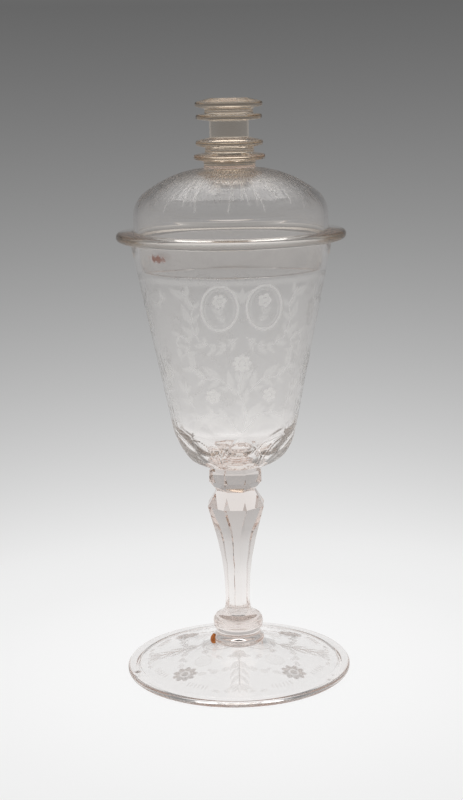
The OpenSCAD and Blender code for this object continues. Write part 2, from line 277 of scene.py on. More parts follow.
@dataclass(frozen=True)
class Glass:
    """Clear old glass, with the matte that an engraver's wheel leaves where it cuts."""

    name: str
    engraved: bool = False
    # Colour of the light that the glass lets through, and how quickly it takes up the rest
    passed: Colour = (0.968, 0.950, 0.940)
    density: float = 120.0
    polish: float = 0.012
    matte: float = 0.6
    matte_colour: Colour = (0.93, 0.88, 0.83)
    clear_colour: Colour = (1.0, 0.99, 0.985)
    stain_colour: Colour = (0.30, 0.07, 0.02)
    # Share of the light that a full cut, or a stain, throws back instead of letting it through
    scatter: float = 0.35
    # Size of the slow waves of hand-worked glass and how steep they are
    wave: float = 16.0
    wave_height: float = 0.008
    # How far those waves are squeezed along the axis
    streak: float = 1.0
    # Grain of the matte cuts
    grain: float = 0.5
    grain_height: float = 0.05
    bending: float = 1.5

    def material(self) -> bpy.types.Material:
        """Makes the material.

        Returns:
            The material, which reads a piece's cuts where it has them.
        """
        material, shader = started(self.name)
        place = shader.place()
        squeeze = {0: place, 1: (1.0, 1.0, self.streak)}
        drawn = shader.node("ShaderNodeVectorMath", {"operation": "MULTIPLY"}, squeeze)
        height = shader.noise(drawn, self.wave, 0.0) * self.wave_height
        inputs = {
            "Base Color": (*self.clear_colour, 1.0),
            "Roughness": self.polish,
            "IOR": self.bending,
            "Transmission Weight": 1.0,
            "Alpha": 1.0 - shader.mark(FUSED),
        }
        if self.engraved:
            cut, stain = shader.mark(ENGRAVED), shader.mark(STAIN)
            height = height + shader.noise(place, self.grain, 3.0) * cut * self.grain_height
            colour = shader.mix(cut, self.clear_colour, self.matte_colour)
            inputs["Base Color"] = shader.mix(stain, colour, self.stain_colour)
            marked = cut.at_least(stain)
            inputs["Roughness"] = marked * (self.matte - self.polish) + self.polish
            inputs["Metallic"] = marked * (1.0 - shader.backfacing()) * self.scatter
        inputs["Normal"] = shader.bump(height)
        surface = shader.node("ShaderNodeBsdfPrincipled", {}, inputs)
        volume = shader.node(
            "ShaderNodeVolumeAbsorption", {}, {"Color": (*self.passed, 1.0), "Density": self.density}
        )
        shader.finish("ShaderNodeOutputMaterial", {"Surface": surface, "Volume": volume})
        return material


@dataclass(frozen=True)
class Wax:
    """Old sealing wax, dull and uneven in colour."""

    name: str
    dark: Colour = (0.36, 0.085, 0.012)
    light: Colour = (0.78, 0.26, 0.05)
    mottle: float = 1.6
    dull: float = 0.38
    dull_spread: float = 0.3
    bump_height: float = 0.12
    glow: float = 0.15
    glow_reach: Colour = (0.002, 0.0008, 0.0003)

    def material(self) -> bpy.types.Material:
        """Makes the material.

        Returns:
            The material.
        """
        material, shader = started(self.name)
        mottle = shader.noise(shader.place(), self.mottle, 4.0)
        inputs = {
            "Base Color": shader.mix(mottle, self.dark, self.light),
            "Roughness": mottle * self.dull_spread + self.dull,
            "Subsurface Weight": self.glow,
            "Subsurface Radius": self.glow_reach,
            "Normal": shader.bump(mottle * self.bump_height),
        }
        surface = shader.node("ShaderNodeBsdfPrincipled", {}, inputs)
        shader.finish("ShaderNodeOutputMaterial", {"Surface": surface})
        return material


@dataclass(frozen=True)
class Corner:
    """A corner of an outline: its distance from the axis, its height and what rounds it."""

    r: float
    z: float
    round: float = 0.0


def rounded(corners: Sequence[Corner]) -> list[Point]:
    """Draws an outline with its corners rounded.

    Where the roundings of two neighbours don't fit on the edge between them, both shrink.

    Args:
        corners: the outline's corners in order; the first and last stay sharp.

    Returns:
        The outline's points, as distances from the axis and heights.
    """
    spots = [Vector((c.r, c.z)) for c in corners]
    halves = [math.pi / 2] * len(corners)
    needs = [0.0] * len(corners)
    for i in range(1, len(corners) - 1):
        halves[i] = (spots[i - 1] - spots[i]).angle(spots[i + 1] - spots[i]) / 2
        needs[i] = corners[i].round / math.tan(halves[i])
    shares = []
    for i in range(len(corners) - 1):
        need = needs[i] + needs[i + 1]
        length = (spots[i + 1] - spots[i]).length
        shares.append(min(1.0, ARC_ROOM * length / need) if need else 1.0)
    points = []
    for i, spot in enumerate(spots):
        if not needs[i]:
            points.append((spot.x, spot.y))
            continue
        reach = needs[i] * min(shares[i - 1], shares[i])
        back = (spots[i - 1] - spot).normalized()
        on = (spots[i + 1] - spot).normalized()
        radius = reach * math.tan(halves[i])
        centre = spot + (back + on).normalized() * radius / math.sin(halves[i])
        first = spot + back * reach - centre
        last = spot + on * reach - centre
        sweep = first.angle_signed(last)
        steps = math.ceil(min(abs(sweep) / ARC_STEP, abs(sweep) * radius / ARC_LENGTH))
        steps = max(2, steps)
        for k in range(steps + 1):
            arm = Matrix.Rotation(-sweep * k / steps, 2) @ first
            points.append((centre.x + arm.x, centre.y + arm.y))
    return points


def inside(corners: Sequence[Corner], wall: float) -> list[Corner]:
    """Moves an outline to its left by the thickness of a wall.

    Args:
        corners: the outline's corners.
        wall: the thickness.

    Returns:
        The moved corners, in the same order.
    """
    spots = [Vector((c.r, c.z)) for c in corners]
    sides = [Vector((a.y - b.y, b.x - a.x)).normalized() for a, b in zip(spots, spots[1:])]
    moved = []
    for i, corner in enumerate(corners):
        before = sides[max(0, i - 1)]
        after = sides[min(i, len(sides) - 1)]
        spot = spots[i] + (before + after) * wall / (1 + before.dot(after))
        moved.append(Corner(spot.x, spot.y, max(0.0, corner.round - wall)))
    return moved


def refined(points: Sequence[Point], spacing: float) -> list[Point]:
    """Adds points so that no two neighbours are further apart than a spacing."""
    fine = [points[0]]
    for (r0, z0), (r1, z1) in zip(points, points[1:]):
        steps = max(1, math.ceil(math.hypot(r1 - r0, z1 - z0) / spacing))
        fine += [(r0 + (r1 - r0) * k / steps, z0 + (z1 - z0) * k / steps) for k in range(1, steps + 1)]
    return fine


def turned(points: Sequence[Point], columns: int, ring: bool = False) -> bmesh.types.BMesh:
    """Spins an outline about the axis.

    Args:
        points: the outline, from the axis back to the axis, or round a ring's section.
        columns: the number of steps of a full turn.
        ring: True where the outline closes on itself away from the axis.

    Returns:
        The closed shape, with each point's place along the outline in the layer row.
    """
    bm = bmesh.new()
    row = bm.verts.layers.float.new("row")
    verts = []
    for place, (r, z) in enumerate(points):
        vert = bm.verts.new((r, 0.0, z))
        vert[row] = place
        verts.append(vert)
    ends = verts[1:] + verts[:1] if ring else verts[1:]
    edges = [bm.edges.new(pair) for pair in zip(verts, ends)]
    bmesh.ops.spin(
        bm,
        geom=[*verts, *edges],
        axis=(0, 0, 1),
        cent=(0, 0, 0),
        steps=columns // SECTORS,
        angle=math.tau / SECTORS,
    )
    sector = [*bm.verts, *bm.edges, *bm.faces]
    for k in range(1, SECTORS):
        copied = bmesh.ops.duplicate(bm, geom=sector)["geom"]
        fresh = [v for v in copied if isinstance(v, bmesh.types.BMVert)]
        turn = Matrix.Rotation(math.tau * k / SECTORS, 3, "Z")
        bmesh.ops.rotate(bm, verts=fresh, cent=(0, 0, 0), matrix=turn)
    bmesh.ops.remove_doubles(bm, verts=list(bm.verts), dist=SAME)
    bmesh.ops.recalc_face_normals(bm, faces=list(bm.faces))
    return bm


@cache
def base_of(node: str) -> float:
    """Height of a node's lowest point, in millimetres."""
    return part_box(node)[0].z / MM


@cache
def top_of(node: str) -> float:
    """Height of a node's highest point, in millimetres."""
    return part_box(node)[1].z / MM


def height_of(node: str) -> float:
    """Height of a node from its lowest to its highest point, in millimetres."""
    return top_of(node) - base_of(node)


class Plate:
    """Glass laid flat under the engraver's wheel: it gathers how far each point is cut."""

    def __init__(self, u: np.ndarray, v: np.ndarray, soft: float) -> None:
        """Starts an uncut plate.

        Args:
            u: sideways place of each point.
            v: upright place of each point.
            soft: width over which a cut's edge fades.
        """
        self.u = u
        self.v = v
        self.soft = soft
        self.cut = np.zeros(len(u))

    def _near(self, low: Point, high: Point) -> np.ndarray:
        """Numbers of the points in a box, with room for a cut's soft edge."""
        within = (self.u > low[0] - self.soft) & (self.u < high[0] + self.soft)
        within &= (self.v > low[1] - self.soft) & (self.v < high[1] + self.soft)
        return np.flatnonzero(within)

    def _lay(self, near: np.ndarray, outside: np.ndarray, depth: float, clear: bool = False) -> None:
        """Cuts some points, or leaves them clear, by how far they lie outside a shape."""
        share = np.clip(0.5 - outside / self.soft, 0.0, 1.0)
        if clear:
            self.cut[near] *= 1 - share * depth
        else:
            self.cut[near] = np.maximum(self.cut[near], share * depth)

    def line(self, points: Sequence[Point], width: float, depth: float = 1.0, clear: bool = False) -> None:
        """Cuts a line, or leaves one clear.

        Args:
            points: the points that it runs through.
            width: its width.
            depth: how strongly it is cut.
            clear: True for a line left polished in a cut area.
        """
        path = np.array(points, float)
        near = self._near(path.min(0) - width, path.max(0) + width)
        spots = np.stack([self.u[near], self.v[near]], 1)
        best = np.full(len(near), np.inf)
        for start, end in zip(path[:-1], path[1:]):
            way = end - start
            share = np.clip((spots - start) @ way / (way @ way), 0.0, 1.0)
            best = np.minimum(best, np.hypot(*(spots - start - share[:, None] * way).T))
        self._lay(near, best - width / 2, depth, clear)

    def leaf(
        self, base: Point, heading: float, length: float, width: float, bend: float = 0.0, depth: float = 1.0
    ) -> None:
        """Cuts a pointed leaf with a clear vein.

        Args:
            base: where it grows from.
            heading: its direction, in degrees from +v towards +u.
            length: its length.
            width: its greatest width.
            bend: how far its tip swings sideways, positive to the right.
            depth: how strongly it is cut.
        """
        reach = length + abs(bend)
        near = self._near((base[0] - reach, base[1] - reach), (base[0] + reach, base[1] + reach))
        side, up = math.sin(math.radians(heading)), math.cos(math.radians(heading))
        du, dv = self.u[near] - base[0], self.v[near] - base[1]
        along = (du * side + dv * up) / length
        across = du * up - dv * side - bend * along**2
        held = np.clip(along, 0.0, 1.0)
        half = width / 2 * np.sin(math.pi * held**0.8) ** 0.9
        outside = np.maximum(np.abs(across) - half, np.abs(along - held) * length)
        self._lay(near, outside, depth)
        if width > 4 * self.soft:
            vein = np.maximum(np.abs(across) - 0.12, (np.abs(along - 0.45) - 0.4) * length)
            self._lay(near, vein, 0.6, clear=True)

    def blossom(
        self, centre: Point, radius: float, petals: int, turn: float = 0.0, depth: float = 1.0
    ) -> None:
        """Cuts a round flower with a clear ring about its eye.

        Args:
            centre: its middle.
            radius: its radius over the petals.
            petals: the number of its petals.
            turn: its turn, in degrees.
            depth: how strongly it is cut.
        """
        reach = (radius, radius)
        near = self._near(np.subtract(centre, reach), np.add(centre, reach))
        du, dv = self.u[near] - centre[0], self.v[near] - centre[1]
        far = np.hypot(du, dv)
        wave = np.abs(np.cos(petals / 2 * (np.arctan2(du, dv) - math.radians(turn))))
        self._lay(near, far - radius * (0.72 + 0.28 * wave), depth)
        self._lay(near, np.abs(far - 0.36 * radius) - 0.045 * radius, 0.75, clear=True)
        split = np.maximum(far * wave - 0.035 * radius, 0.5 * radius - far)
        self._lay(near, split, 0.55, clear=True)

    def oval(self, centre: Point, half_w: float, half_h: float, width: float, depth: float = 1.0) -> None:
        """Cuts the outline of an oval."""
        turns = np.linspace(0.0, math.tau, 49)
        points = np.stack([centre[0] + half_w * np.sin(turns), centre[1] + half_h * np.cos(turns)], 1)
        self.line(points, width, depth)

    def branch(
        self, points: Sequence[Point], width: float, leaf: float, spacing: float, side: float = 1.0
    ) -> None:
        """Cuts a stalk with leaves on both its sides.

        Args:
            points: the stalk's points.
            width: the stalk's width.
            leaf: length of a leaf.
            spacing: distance from one pair of leaves to the next.
            side: the side of the longer leaves, 1 for the right of the way and -1 for the left.
        """
        self.line(points, width, 0.85)
        path = np.array(points, float)
        steps = np.hypot(*np.diff(path, axis=0).T)
        gone = np.concatenate([[0.0], np.cumsum(steps)])
        for k, place in enumerate(np.arange(spacing * 0.6, gone[-1], spacing * 1.35)):
            i = min(int(np.searchsorted(gone, place, side="right")) - 1, len(steps) - 1)
            share = (place - gone[i]) / steps[i]
            spot = path[i] + share * (path[i + 1] - path[i])
            way = math.degrees(math.atan2(*(path[i + 1] - path[i])))
            for hand in (1, -1):
                grown = leaf * (1.0 if hand == side else 0.62) * (0.85 + 0.15 * (k % 2))
                self.leaf(tuple(spot), way + hand * 46, grown * 1.25, grown * 0.42, -hand * grown * 0.22)


def scroll(centre: Point, radius: float, start: float, turns: float, hand: int) -> list[Point]:
    """Draws a spiral that tightens towards its middle.

    Args:
        centre: its middle.
        radius: its radius where it starts.
        start: the direction from the middle to its start, in degrees from +v towards +u.
        turns: the number of turns.
        hand: 1 to run clockwise, -1 to run the other way.

    Returns:
        The spiral's points, from outside to inside.
    """
    count = max(12, round(30 * turns))
    points = []
    for k in range(count + 1):
        turn = math.radians(start) + hand * math.tau * turns * k / count
        far = radius * (1 - 0.78 * (k / count) ** 0.9)
        points.append((centre[0] + far * math.sin(turn), centre[1] + far * math.cos(turn)))
    return points


@dataclass
class Part:
    """A piece of the object that stands for one node of the frame."""

    node: str
    body: Body
    slot: Slot
    finish: Glass | Wax
    # Depth of a full cut of the wheel
    relief: float = 0.12
    # Heights and radii of the joins where the glass runs on into a neighbour
    joins: tuple[Point, ...] = ()

    def shape(self) -> bmesh.types.BMesh:
        """Builds the closed shape, in millimetres."""
        raise NotImplementedError

    def engrave(self, spots: np.ndarray) -> dict[str, np.ndarray]:
        """Says how each point is marked, by the name of the attribute that holds it."""
        return {}

    def build(self) -> bpy.types.Object:
        """Builds the piece, dresses it and puts it in the place of its node.

        Returns:
            The finished object.
        """
        bm = self.shape()
        for face in bm.faces:
            face.smooth = True
        for edge in bm.edges:
            edge.smooth = len(edge.link_faces) == 2 and edge.calc_face_angle() < CRISP
        mesh = bpy.data.meshes.new(f"{self.node}_piece")
        bm.to_mesh(mesh)
        bm.free()
        self._mark(mesh)
        mesh.transform(Matrix.Scale(MM, 4))
        mesh.materials.append(bpy.data.materials.get(self.finish.name) or self.finish.material())
        piece = linked(mesh.name, mesh)
        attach(piece, self.body.value)
        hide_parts(self.node)
        log.info("%s: %d faces", piece.name, len(mesh.polygons))
        return piece

    def _mark(self, mesh: bpy.types.Mesh) -> None:
        """Stores a piece's marks and sinks its cuts."""
        count = len(mesh.vertices)
        spots = np.empty(count * 3)
        normals = np.empty(count * 3)
        mesh.vertices.foreach_get("co", spots)
        mesh.vertices.foreach_get("normal", normals)
        spots = spots.reshape(-1, 3)
        marks = self.engrave(spots)
        for name, values in marks.items():
            attribute = mesh.attributes.new(name, "FLOAT", "POINT")
            attribute.data.foreach_set("value", values.astype(np.float32))
        joined = mesh.attributes.new(FUSED, "FLOAT", "FACE")
        joined.data.foreach_set("value", [float(self._is_join(mesh, face)) for face in mesh.polygons])
        if ENGRAVED in marks:
            sunk = spots - normals.reshape(-1, 3) * (marks[ENGRAVED] * self.relief)[:, None]
            mesh.vertices.foreach_set("co", sunk.ravel())

    def _is_join(self, mesh: bpy.types.Mesh, face: bpy.types.MeshPolygon) -> bool:
        """Whether a face lies in a join, inside the fused glass."""
        far = math.hypot(face.center.x, face.center.y)
        for height, radius in self.joins:
            if abs(face.center.z - height) < 2 * FUSE and far < radius:
                if all(abs(mesh.vertices[i].co.z - height) < 1.1 * FUSE for i in face.vertices):
                    return True
        return False


def azimuth(spots: np.ndarray) -> np.ndarray:
    """Direction of each point from the axis, in radians from the front towards +X."""
    return np.arctan2(spots[:, 0], -spots[:, 1])


def wrapped(turn: np.ndarray) -> np.ndarray:
    """Brings turns into the half circle on either side of zero."""
    return (turn + math.pi) % math.tau - math.pi


@dataclass
class Foot(Part):
    """Low conical foot with a folded rim, engraved on top with sprigs, flowers and festoons."""

    d: float = 114.0
    rim_t: float = 3.0
    fold_w: float = 6.0
    fold_rise: float = 0.6
    fold_step: float = 0.4
    rest_w: float = 3.0
    plate_t: float = 2.4
    rise_d: float = 42.0
    rise_h: float = 3.8
    rise_round: float = 21.0
    seat_t: float = 2.4
    seat_d: float = 25.2
    pontil_d: float = 16.0
    pontil_depth: float = 0.8
    columns: int = 480
    rows: float = 0.55
    sprigs: int = 4
    # Directions in degrees, distances from the axis and sizes of chips in the fold
    nicks: tuple[tuple[float, float, float], ...] = ((-73, 53.6, 2.3), (55, 54.0, 1.3), (62, 53.2, 0.9))

    def shape(self) -> bmesh.types.BMesh:
        """Builds the foot, hollow underneath.

        Returns:
            The closed shape.
        """
        r = self.d / 2
        h = top_of(self.node)
        roll = ROLL * self.rim_t / 2
        fold_r, fold_z = r - self.fold_w, self.rim_t + self.fold_rise
        plate_r, plate_z = fold_r - self.fold_step, fold_z - self.fold_step
        rise_r, rise_z = self.rise_d / 2, h - self.rise_h
        under_z = h - self.seat_t
        below = rounded([
            Corner(0, under_z + self.pontil_depth),
            Corner(self.pontil_d / 2, under_z),
            Corner(rise_r, rise_z - self.plate_t, self.rise_round),
            Corner(plate_r, plate_z - self.plate_t),
            Corner(r - roll - self.rest_w, 0),
            Corner(r, 0, roll),
            Corner(r, self.rim_t, roll),
            Corner(fold_r, fold_z, self.fold_step),
            Corner(plate_r, plate_z),
        ])
        above = rounded([
            Corner(plate_r, plate_z),
            Corner(rise_r, rise_z, self.rise_round),
            Corner(self.seat_d / 2, h),
        ])
        edge = refined(below[:-1], 2 * self.rows)
        return turned([*edge, *refined(above, self.rows), (0.0, h)], self.columns)

    def engrave(self, spots: np.ndarray) -> dict[str, np.ndarray]:
        """Engraves the top of the foot.

        Args:
            spots: the piece's points.

        Returns:
            How far each point is cut.
        """
        far = np.hypot(spots[:, 0], spots[:, 1])
        fold_r = self.d / 2 - self.fold_w
        slope = np.interp(far, [self.rise_d / 2, fold_r], [top_of(self.node) - self.rise_h, self.rim_t])
        on_top = (spots[:, 2] > slope - 0.8) & (far < fold_r - self.fold_step) & (far > self.seat_d / 2)
        turn = azimuth(spots)
        cut = np.zeros(len(spots))
        for k in range(self.sprigs):
            side = wrapped(turn - math.tau * k / self.sprigs)
            plate = Plate(far * np.sin(side), far * np.cos(side), self.rows)
            self._sprig(plate)
            self._flowers(plate)
            cut = np.maximum(cut, plate.cut)
        worn = self._nicks(spots) * (spots[:, 2] > self.rim_t / 2)
        return {ENGRAVED: np.maximum(cut * on_top, worn)}

    def _nicks(self, spots: np.ndarray) -> np.ndarray:
        """Small chips in the fold, at the left and the right of the front."""
        worn = np.zeros(len(spots))
        for degrees, far, size in self.nicks:
            turn = math.radians(degrees)
            gap = np.hypot(spots[:, 0] - far * math.sin(turn), spots[:, 1] + far * math.cos(turn))
            worn = np.maximum(worn, np.clip(2.0 - 2.0 * gap / size, 0.0, 1.0))
        return worn

    @staticmethod
    def _sprig(plate: Plate) -> None:
        """Cuts a drooping sprig from a bud near the collar to a fan near the rim."""
        plate.line([(0, 17), (0, 41)], 0.6)
        for hand in (-1, 1):
            plate.leaf((hand * 0.4, 15), hand * 42, 4.6, 2.2, hand * 0.4)
            plate.leaf((hand * 0.8, 17.5), hand * 74, 5.0, 1.9, hand * 1.0)
            for k in range(3):
                plate.leaf((0, 21.0 + 6.0 * k), hand * 44, 9.6 - 0.4 * k, 2.0, -hand * 2.4)
            for lean in (24, 52):
                plate.leaf((hand * 0.4, 40.4), hand * lean, 7.0, 2.6, hand * 0.4)
        plate.leaf((0, 14.5), 0, 6.0, 3.0)
        plate.leaf((0, 40.4), 0, 7.2, 2.6)

    @staticmethod
    def _flowers(plate: Plate) -> None:
        """Cuts the flower between two sprigs, with festoons, buds and ticks."""
        middle = math.pi / 4

        def spot(far: float, turn: float) -> Point:
            """A place on the foot, from its distance and turn."""
            return (far * math.sin(turn), far * math.cos(turn))

        plate.blossom(spot(38.4, middle), 6.4, 9, 12)
        plate.oval(spot(25.5, middle), 4.6, 4.2, 0.5, 0.6)
        for k in range(-2, 3):
            plate.line([spot(22.2, middle + 0.055 * k), spot(29.2, middle + 0.045 * k)], 0.4, 0.5)
        for hand in (-1, 1):
            for k in range(4):
                share = (k + 1.0) / 4.6
                turn = middle * (1 - hand * 0.94 * share)
                heading = math.degrees(turn) - hand * (108 + 22 * share)
                plate.leaf(spot(38.6 - 13.5 * share, turn), heading, 4.8, 3.0, -hand * 0.8)
            for k in range(6):
                turn = middle - hand * math.radians(10.5 + 2.6 * k)
                plate.line([spot(43.2, turn), spot(45.8, turn)], 0.6, 0.8)
            for far, turn, size in ((46.2, 28, 4.4), (46.0, 35, 3.6), (19.5, 9, 4.6), (30.5, 14, 3.8)):
                place = middle - hand * math.radians(turn)
                plate.leaf(spot(far, place), math.degrees(place) - hand * 80, size, 1.9, 0.0, 0.9)


@dataclass
class TurnedMember(Part):
    """A solid turned member, such as a collar, a knop, a ring or a spool."""

    corners: tuple[Corner, ...] = ()
    base: float = 0.0
    columns: int = 192

    def shape(self) -> bmesh.types.BMesh:
        """Turns the member's outline at its height."""
        points = rounded(self.corners)
        return turned([(r, z + self.base) for r, z in points], self.columns)


@dataclass
class FacetedMember(Part):
    """A solid cut with eight upright faces, every other one after its own outline."""

    ridge: tuple[Corner, ...] = ()
    flute: tuple[Corner, ...] = ()
    base: float = 0.0
    facets: int = 8
    turn: float = -2.0
    arris: float = 0.05

    def shape(self) -> bmesh.types.BMesh:
        """Raises the faces level by level and breaks their long edges.

        Returns:
            The closed shape.
        """
        ridge, flute = np.array(rounded(self.ridge)), np.array(rounded(self.flute))
        heights = np.unique(np.round(np.concatenate([ridge[:, 1], flute[:, 1]]), 4))
        bm = bmesh.new()
        ring = bmesh.ops.create_circle(bm, segments=self.facets, radius=1.0)["verts"]
        ring.sort(key=lambda v: math.atan2(v.co.y, v.co.x) % math.tau)
        rings = [ring]
        for _ in heights[1:]:
            edges = [e for e in bm.edges if all(v in rings[-1] for v in e.verts)]
            raised = bmesh.ops.extrude_edge_only(bm, edges=edges)["geom"]
            fresh = [v for v in raised if isinstance(v, bmesh.types.BMVert)]
            fresh.sort(key=lambda v: math.atan2(v.co.y, v.co.x) % math.tau)
            rings.append(fresh)
        for z, verts in zip(heights, rings):
            a = np.interp(z, ridge[:, 1], ridge[:, 0])
            b = np.interp(z, flute[:, 1], flute[:, 0])
            self._place(verts, a, b, z + self.base)
        bmesh.ops.contextual_create(bm, geom=rings[0])
        bmesh.ops.contextual_create(bm, geom=rings[-1])
        bmesh.ops.recalc_face_normals(bm, faces=list(bm.faces))
        folds = [e for e in bm.edges if e.is_manifold and e.calc_face_angle() > CRISP]
        bmesh.ops.bevel(
            bm,
            geom=folds,
            offset=self.arris,
            segments=1,
            profile=0.5,
            affect="EDGES",
            material=-1,
            clamp_overlap=True,
        )
        bmesh.ops.recalc_face_normals(bm, faces=list(bm.faces))
        return bm

    def _place(self, verts: list, a: float, b: float, z: float) -> None:
        """Puts a ring's corners where neighbouring faces meet.

        Args:
            verts: the ring's eight corners, in order round the axis.
            a: distance of the ridge faces from the axis.
            b: distance of the flute faces from the axis.
            z: the ring's height.
        """
        step = math.tau / self.facets
        half = (b - a * math.cos(step)) / math.sin(step)
        for k, vert in enumerate(verts):
            facing = (k + 1) // 2 * 2 * step + math.radians(self.turn)
            side = half if k % 2 == 0 else -half
            vert.co = Matrix.Rotation(facing, 3, "Z") @ Vector((a, side, z))


@dataclass
class Bowl(Part):
    """Tall tapering bowl with cut petals round its base, engraved with foliage and ovals."""

    rim_d: float = 98.8
    wall: float = 2.2
    seat_d: float = 24.4
    corner_d: float = 54.2
    base_rise: float = 1.35
    round: float = 20.0
    floor_t: float = 5.0
    inner_round: float = 24.0
    lip_round: float = 0.6
    petals: int = 8
    petal_turn: float = 6.0
    petal_low: float = 2.5
    petal_h: float = 18.5
    petal_bulge: float = 0.9
    petal_groove: float = 0.3
    groove_w: float = 0.15
    petal_rows: float = 0.7
    settle_h: float = 20.0
    columns: int = 480
    rows: float = 0.84
    inner_rows: float = 9.0
    engraved_top: float = 112.0
    panels: int = 4
    # Heights and widths of the lines below the rim
    rim_lines: tuple[Point, ...] = ((204.4, 0.7), (202.9, 0.45))
    # Faint matte that the engraver's work leaves between the cuts
    veil: float = 0.14
    veil_zs: tuple[float, ...] = (126.0, 136.0, 196.0, 203.0)
    # Middle of the pairs of ovals, and their sizes
    oval_turn: float = 14.1
    oval_z: float = 192.0
    oval_half_w: float = 8.7
    oval_half_h: float = 10.6

    def _outer(self) -> list[Point]:
        """The uncut outside, from the edge of the seat to below the lip."""
        h = height_of(self.node) - LIP_AIR
        return rounded([
            Corner(self.seat_d / 2, 0),
            Corner(self.corner_d / 2, self.base_rise, self.round),
            Corner(self.rim_d / 2, h, self.lip_round),
            Corner(self.rim_d / 2 - self.wall, h),
        ])

    def outer_r(self, z: float | np.ndarray) -> float | np.ndarray:
        """Distance of the uncut outside from the axis at heights above the seat."""
        points = np.array(self._outer()[:-1])
        return np.interp(z, points[:, 1], points[:, 0])

    def face_r(self, z: np.ndarray) -> np.ndarray:
        """Distance of a petal's face from the axis, straight in front of it."""
        low = Vector((self.outer_r(self.petal_low), self.petal_low))
        high = Vector((self.outer_r(self.petal_h), self.petal_h))
        chord = high - low
        radius = ((chord.length / 2) ** 2 + self.petal_bulge**2) / (2 * self.petal_bulge)
        inward = Vector((-chord.y, chord.x)).normalized()
        centre = (low + high) / 2 + inward * (radius - self.petal_bulge)
        return centre.x + np.sqrt(radius**2 - (np.asarray(z) - centre.y) ** 2)

    def shape(self) -> bmesh.types.BMesh:
        """Turns the bowl, then cuts its petals.

        Returns:
            The closed shape.
        """
        outer = np.array(self._outer())
        settle_r = float(self.outer_r(self.settle_h))
        h = outer[-1, 1]
        bend = np.array([*(p for p in outer if p[1] < self.settle_h), (settle_r, self.settle_h)])
        along = np.append(0.0, np.cumsum(np.hypot(*np.diff(bend, axis=0).T)))
        steps = np.linspace(0, along[-1], math.ceil(along[-1] / self.petal_rows) + 1)
        low = [tuple(float(np.interp(t, along, bend[:, i])) for i in (0, 1)) for t in steps]
        top_r = float(self.outer_r(self.engraved_top))
        wall = refined([(settle_r, self.settle_h), (top_r, self.engraved_top)], self.rows)
        lip = [tuple(p) for p in outer if p[1] > self.engraved_top]
        share = (self.floor_t - self.base_rise) / (h - self.base_rise)
        inner_r = (self.corner_d + (self.rim_d - self.corner_d) * share) / 2 - self.wall
        within = rounded([
            Corner(self.rim_d / 2 - self.lip_round, h),
            Corner(self.rim_d / 2 - self.wall, h, self.lip_round),
            Corner(inner_r, self.floor_t, self.inner_round),
            Corner(0, self.floor_t),
        ])
        within = refined(within[1:], self.inner_rows)
        points = [(0.0, 0.0), *low, *wall[1:], *lip[:-1], *within]
        bm = turned(points, self.columns)
        self._cut_petals(bm, len(low))
        bmesh.ops.translate(bm, verts=list(bm.verts), vec=(0, 0, base_of(self.node)))
        return bm

    def _cut_petals(self, bm: bmesh.types.BMesh, last: int) -> None:
        """Moves the outside below a row onto the petals' faces and cuts a line round each."""
        row = bm.verts.layers.float["row"]
        pitch = math.tau / self.petals
        verts = [v for v in bm.verts if 2 < v[row] < last and v.co.z > self.petal_low / 2]
        spots = np.array([v.co for v in verts])
        side = (azimuth(spots) - math.radians(self.petal_turn) + pitch / 2) % pitch - pitch / 2
        far = np.hypot(spots[:, 0], spots[:, 1])
        past = self.face_r(spots[:, 2]) / np.cos(side) - far
        cut = np.minimum(0.0, past) - self.petal_groove * np.exp(-((past / self.groove_w) ** 2))
        for vert, kept in zip(verts, 1.0 + cut / far):
            vert.co.x *= kept
            vert.co.y *= kept

    def engrave(self, spots: np.ndarray) -> dict[str, np.ndarray]:
        """Engraves the outside of the wall.

        Args:
            spots: the piece's points.

        Returns:
            How far each point is cut, and where an old stain lies.
        """
        far = np.hypot(spots[:, 0], spots[:, 1])
        base = base_of(self.node)
        outside = np.abs(far - self.outer_r(spots[:, 2] - base)) < SKIN
        outside &= spots[:, 2] > base + self.settle_h
        turn = azimuth(spots)
        cut = np.zeros(len(spots))
        for k in range(self.panels):
            side = wrapped(turn - math.radians(self.petal_turn) - math.tau * k / self.panels)
            plate = Plate(far * side, spots[:, 2].copy(), self.rows)
            if k % 2 == 0:
                self._ovals(plate)
            else:
                self._palmette(plate)
            cut = np.maximum(cut, plate.cut)
        plate = Plate(far * turn, spots[:, 2].copy(), self.rows)
        for z, width in self.rim_lines:
            plate.line([(-160, z), (160, z)], width, 0.8)
        cut = np.maximum(cut, plate.cut)
        stain = self._stain(far, turn, spots[:, 2])
        veil = np.interp(spots[:, 2], self.veil_zs, [0.0, self.veil, self.veil, 0.0])
        return {ENGRAVED: np.maximum(cut, veil) * outside, STAIN: stain * outside}

    @staticmethod
    def _stain(far: np.ndarray, turn: np.ndarray, z: np.ndarray) -> np.ndarray:
        """An old reddish-brown smear near the rim, at the left of the front."""
        u, v = (turn + math.radians(46)) * far, z - 214.5
        spread = np.hypot(u / 6.5, v / 2.2)
        ragged = 0.18 * np.sin(u * 1.7) + 0.15 * np.sin(u * 3.1 + v * 2.3)
        return np.clip((1.0 - spread + ragged) * 2.0, 0.0, 0.85)

